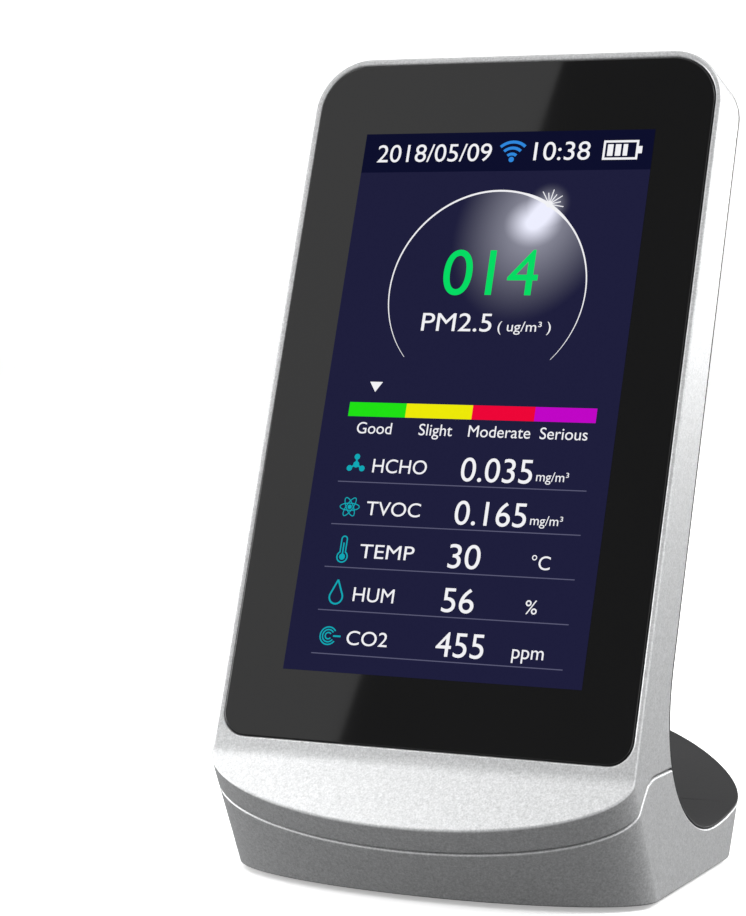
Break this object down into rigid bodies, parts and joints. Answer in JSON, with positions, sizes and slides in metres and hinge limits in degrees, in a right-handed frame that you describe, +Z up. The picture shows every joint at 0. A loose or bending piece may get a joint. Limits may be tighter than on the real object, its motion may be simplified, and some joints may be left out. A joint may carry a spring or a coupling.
{
  "type": "air quality monitor",
  "caption": "Desktop air quality monitor with a leaning portrait display on a hollow wedge base with a scooped dark rear and sprung keys behind.",
  "frame": {"origin": "on the table under the middle of the bounding box", "axes": "+Z up, -Y towards the viewer of the display, +X to the right as the viewer sees it"},
  "size_m": [0.0754, 0.083, 0.139],
  "materials": {
    "silver_paint": "fine-grain silver paint over plastic",
    "dark_shell": "dark soft-touch plastic",
    "cover_glass": "glossy black-backed cover glass",
    "black_foam": "adhesive foam tape",
    "display": "lit colour display",
    "tray_steel": "thin pressed steel",
    "green_board": "green solder mask on glass fibre board",
    "amber_film": "polyimide film",
    "foil_pouch": "aluminium laminate pouch",
    "screw_steel": "bare steel",
    "foot_rubber": "soft black rubber",
    "black_plastic": "moulded black plastic",
    "white_plastic": "moulded white plastic",
    "brass_barrel": "turned brass"
  },
  "bodies": {
    "case": {"back_cover": "dark_shell", "backlight_tray": "tray_steel", "base_housing": "silver_paint", "battery": "foil_pouch", "board_screw_left_high": "screw_steel", "board_screw_left_low": "screw_steel", "board_screw_right_high": "screw_steel", "board_screw_right_low": "screw_steel", "bottom_plate": "dark_shell", "buzzer": "black_plastic", "climate_sensor": "black_plastic", "co2_sensor": "white_plastic", "cover_screw_left": "screw_steel", "cover_screw_right": "screw_steel", "display_cable": "amber_film", "foot_front_left": "foot_rubber", "foot_front_right": "foot_rubber", "foot_rear_left": "foot_rubber", "foot_rear_right": "foot_rubber", "formaldehyde_sensor": "white_plastic", "front_frame": "silver_paint", "front_glass": "cover_glass", "glass_tape": "black_foam", "laser_module": "brass_barrel", "lcd_panel": "display", "main_board": "green_board", "menu_switch": "tray_steel", "particle_case": "tray_steel", "particle_lid": "tray_steel", "plate_screw_front_left": "screw_steel", "plate_screw_front_right": "screw_steel", "plate_screw_rear_left": "screw_steel", "plate_screw_rear_right": "screw_steel", "power_switch": "tray_steel", "sensor_board": "green_board", "set_switch": "tray_steel", "usb_socket": "tray_steel", "voc_sensor": "tray_steel", "wifi_module": "tray_steel"},
    "fan": {"fan_rotor": "black_plastic"},
    "menu_key": {"menu_button": "black_plastic"},
    "power_key": {"power_button": "black_plastic"},
    "set_key": {"set_button": "black_plastic"}
  },
  "joints": [
    {"name": "fan_spin", "type": "hinge", "parent": "case", "child": "fan", "pos_m": [-0.019, -0.02685, 0.0134], "axis": [0, 1, 0], "continuous": true},
    {"name": "menu_press", "type": "slide", "parent": "case", "child": "menu_key", "axis": [0, -0.9397, 0.342], "range_m": [0, 0.0005], "stiffness_N_per_m": 400},
    {"name": "power_press", "type": "slide", "parent": "case", "child": "power_key", "axis": [0, -0.9397, 0.342], "range_m": [0, 0.0005], "stiffness_N_per_m": 400},
    {"name": "set_press", "type": "slide", "parent": "case", "child": "set_key", "axis": [0, -0.9397, 0.342], "range_m": [0, 0.0005], "stiffness_N_per_m": 400}
  ]
}
